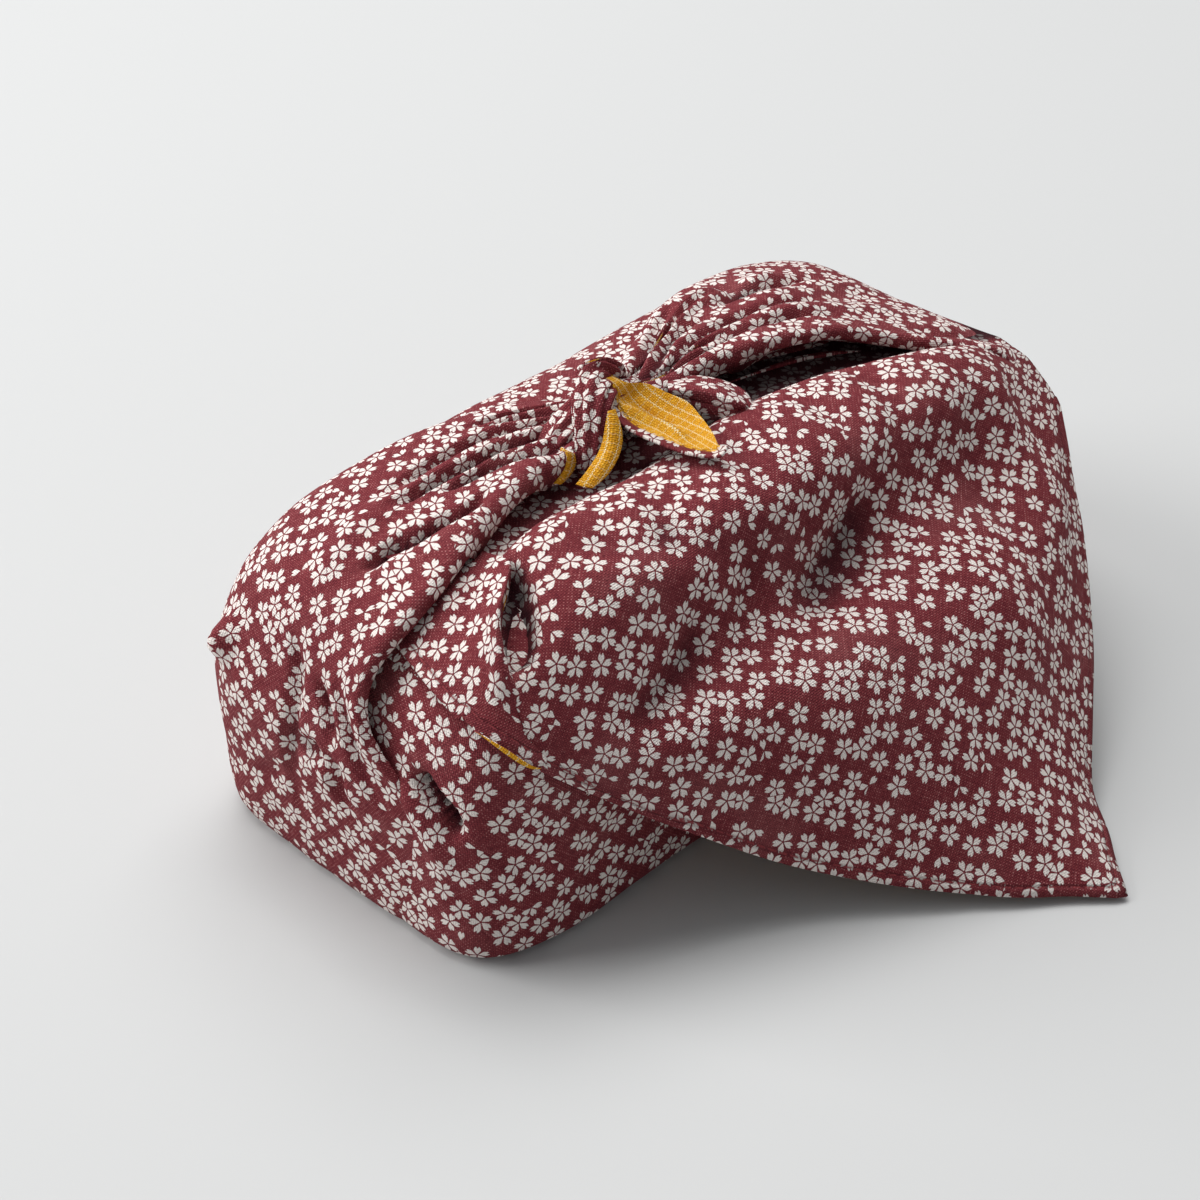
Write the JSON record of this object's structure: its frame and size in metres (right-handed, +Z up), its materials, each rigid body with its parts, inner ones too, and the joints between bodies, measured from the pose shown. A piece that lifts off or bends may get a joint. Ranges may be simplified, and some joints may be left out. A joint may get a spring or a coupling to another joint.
{
  "type": "furoshiki wrap",
  "caption": "Square printed cotton wrapping cloth tied round a lunch box and knotted on top, with a loose corner hanging in front.",
  "frame": {"origin": "middle of the flat base of the parcel, where it rests", "axes": "+X along the parcel, +Z up, the loose corner hangs towards -Y"},
  "size_m": [0.2021, 0.1685, 0.0917],
  "materials": {
    "printed_cotton": "matt woven cotton, burgundy with an off-white cherry blossom print outside and mustard yellow with a fine off-white lattice inside"
  },
  "bodies": {
    "root": {"furoshiki": "printed_cotton"}
  },
  "joints": []
}
